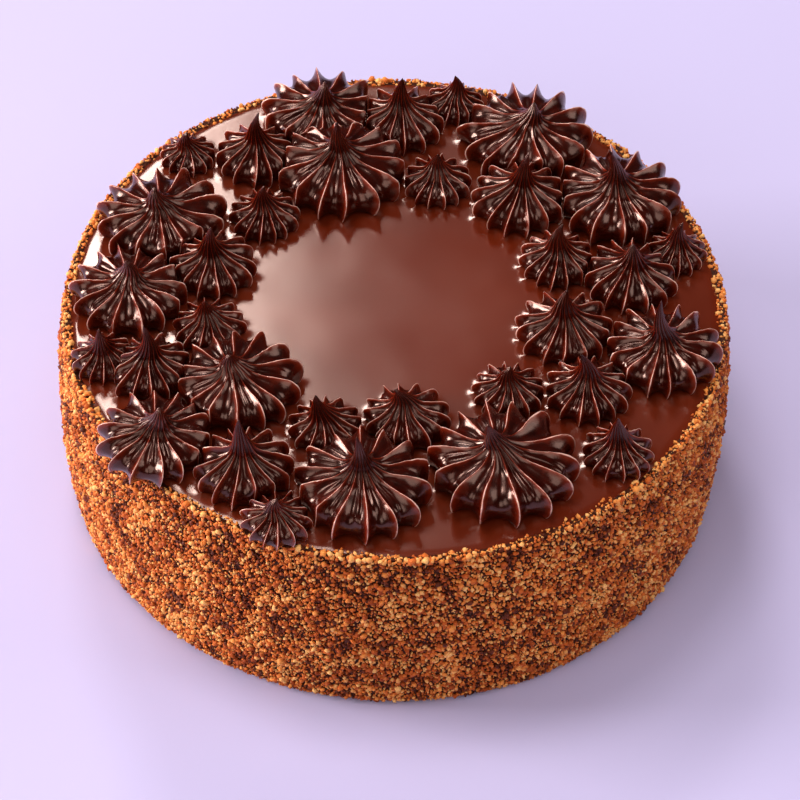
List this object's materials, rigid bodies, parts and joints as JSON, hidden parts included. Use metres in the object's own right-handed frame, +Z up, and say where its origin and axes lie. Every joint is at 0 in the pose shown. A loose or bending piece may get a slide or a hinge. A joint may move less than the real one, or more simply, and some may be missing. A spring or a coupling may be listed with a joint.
{
  "type": "sachertorte cake",
  "caption": "Whole round chocolate torte with a crumb-coated side, a poured glaze and a ring of piped ganache rosettes, for a table, cake stand or shop counter.",
  "frame": {"origin": "middle of the flat underside of the cake", "axes": "+Z up through the middle of the cake, -Y towards the front of the picture, +X to its right"},
  "size_m": [0.1986, 0.1992, 0.0893],
  "materials": {
    "crumb_coat": "golden brown cake crumbs over dark chocolate, dry and matte",
    "poured_glaze": "smooth milk chocolate glaze with a mirror gloss",
    "piped_ganache": "dark chocolate ganache, satin to glossy, with bright edges"
  },
  "bodies": {
    "root": {"cake_with_crumbs": "crumb_coat", "chocolate_glaze": "poured_glaze", "rosette_01": "piped_ganache", "rosette_02": "piped_ganache", "rosette_03": "piped_ganache", "rosette_04": "piped_ganache", "rosette_05": "piped_ganache", "rosette_06": "piped_ganache", "rosette_07": "piped_ganache", "rosette_08": "piped_ganache", "rosette_09": "piped_ganache", "rosette_10": "piped_ganache", "rosette_11": "piped_ganache", "rosette_12": "piped_ganache", "rosette_13": "piped_ganache", "rosette_14": "piped_ganache", "rosette_15": "piped_ganache", "rosette_16": "piped_ganache", "rosette_17": "piped_ganache", "rosette_18": "piped_ganache", "rosette_19": "piped_ganache", "rosette_20": "piped_ganache", "rosette_21": "piped_ganache", "rosette_22": "piped_ganache", "rosette_23": "piped_ganache", "rosette_24": "piped_ganache", "rosette_25": "piped_ganache", "rosette_26": "piped_ganache", "rosette_27": "piped_ganache", "rosette_28": "piped_ganache", "rosette_29": "piped_ganache", "rosette_30": "piped_ganache", "rosette_31": "piped_ganache", "rosette_32": "piped_ganache", "rosette_33": "piped_ganache"}
  },
  "joints": []
}
